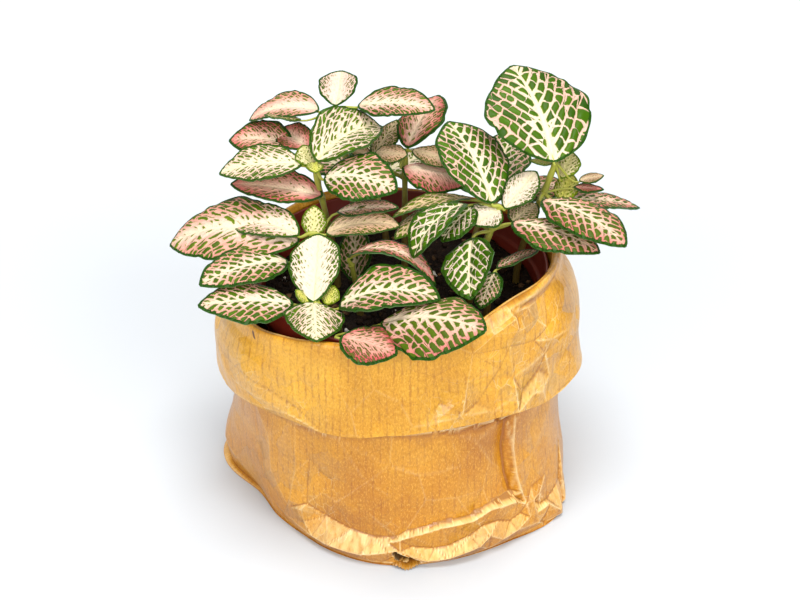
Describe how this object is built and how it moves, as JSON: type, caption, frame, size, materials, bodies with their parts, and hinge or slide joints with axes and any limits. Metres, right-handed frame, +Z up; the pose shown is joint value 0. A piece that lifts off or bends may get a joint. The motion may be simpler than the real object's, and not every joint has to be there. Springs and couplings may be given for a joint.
{
  "type": "potted nerve plant",
  "caption": "Small nerve plant with net-veined pink, cream and green leaves, in a nursery pot inside a kraft-paper bag with a turned-down cuff.",
  "frame": {"origin": "centre of the bag's flat bottom, on the surface it stands on", "axes": "+Z up, -Y towards the front, +X to the right seen from the front"},
  "size_m": [0.19, 0.1603, 0.1709],
  "materials": {
    "kraft_paper": "golden-tan ribbed kraft paper, faintly waxy, with light crease lines",
    "pot_plastic": "terracotta-coloured moulded plastic, satin",
    "soil": "dark moist peat crumbs with bark bits and a few perlite grains",
    "leaf_cream": "cream-white leaves with green cells and a green margin, satin",
    "leaf_blush": "pale pink and cream leaves with green dashes and a green margin, satin",
    "leaf_salmon": "salmon-pink leaves with green cells and a dark-green margin, satin",
    "leaf_green": "saturated green leaves with a net of cream and pink veins, satin"
  },
  "bodies": {
    "root": {"paper_bag": "kraft_paper", "nursery_pot": "pot_plastic", "potting_soil": "soil", "shoot_front_left": "leaf_cream", "shoot_left": "leaf_blush", "shoot_upper_left": "leaf_cream", "shoot_top": "leaf_blush", "shoot_middle": "leaf_salmon", "shoot_right": "leaf_green", "shoot_tall_right": "leaf_green", "shoot_front": "leaf_salmon", "shoot_inner": "leaf_salmon", "shoot_low_right": "leaf_green", "shoot_back": "leaf_blush", "shoot_back_right": "leaf_green"}
  },
  "joints": []
}
